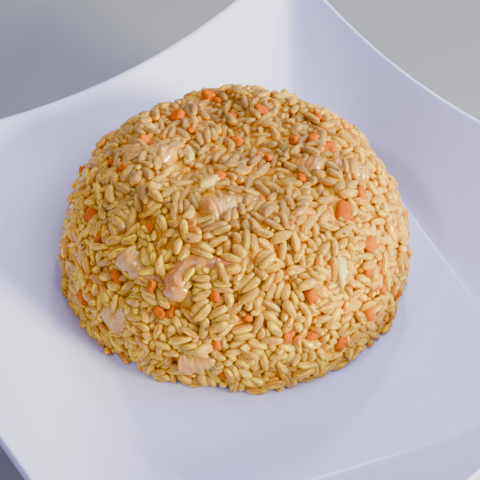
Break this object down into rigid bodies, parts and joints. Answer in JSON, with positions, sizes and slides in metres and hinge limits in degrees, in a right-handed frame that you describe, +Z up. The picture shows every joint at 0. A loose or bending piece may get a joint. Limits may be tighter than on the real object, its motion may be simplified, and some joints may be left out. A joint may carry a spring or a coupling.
{
  "type": "fried rice on a plate",
  "caption": "Bowl-shaped dome of fried rice with curled prawns, standing on a square white plate with concave sides and upswept corners.",
  "frame": {"origin": "middle of the plate's outline, on the surface that its foot stands on", "axes": "+Z up; the plate's four sides face +X, +Y, -X and -Y"},
  "size_m": [0.2322, 0.2322, 0.0606],
  "materials": {
    "glaze": "glossy white glaze",
    "rice": "oily cooked rice grains",
    "prawn": "moist cooked prawn"
  },
  "bodies": {
    "root": {"plate": "glaze", "fried_rice": "rice", "prawn_curled": "prawn", "prawn_top_left": "prawn", "prawn_top_front": "prawn", "prawn_top_right": "prawn", "prawn_shoulder": "prawn", "prawn_left_flank": "prawn", "prawn_left_foot": "prawn", "prawn_left_shoulder": "prawn", "prawn_front_foot": "prawn"}
  },
  "joints": []
}
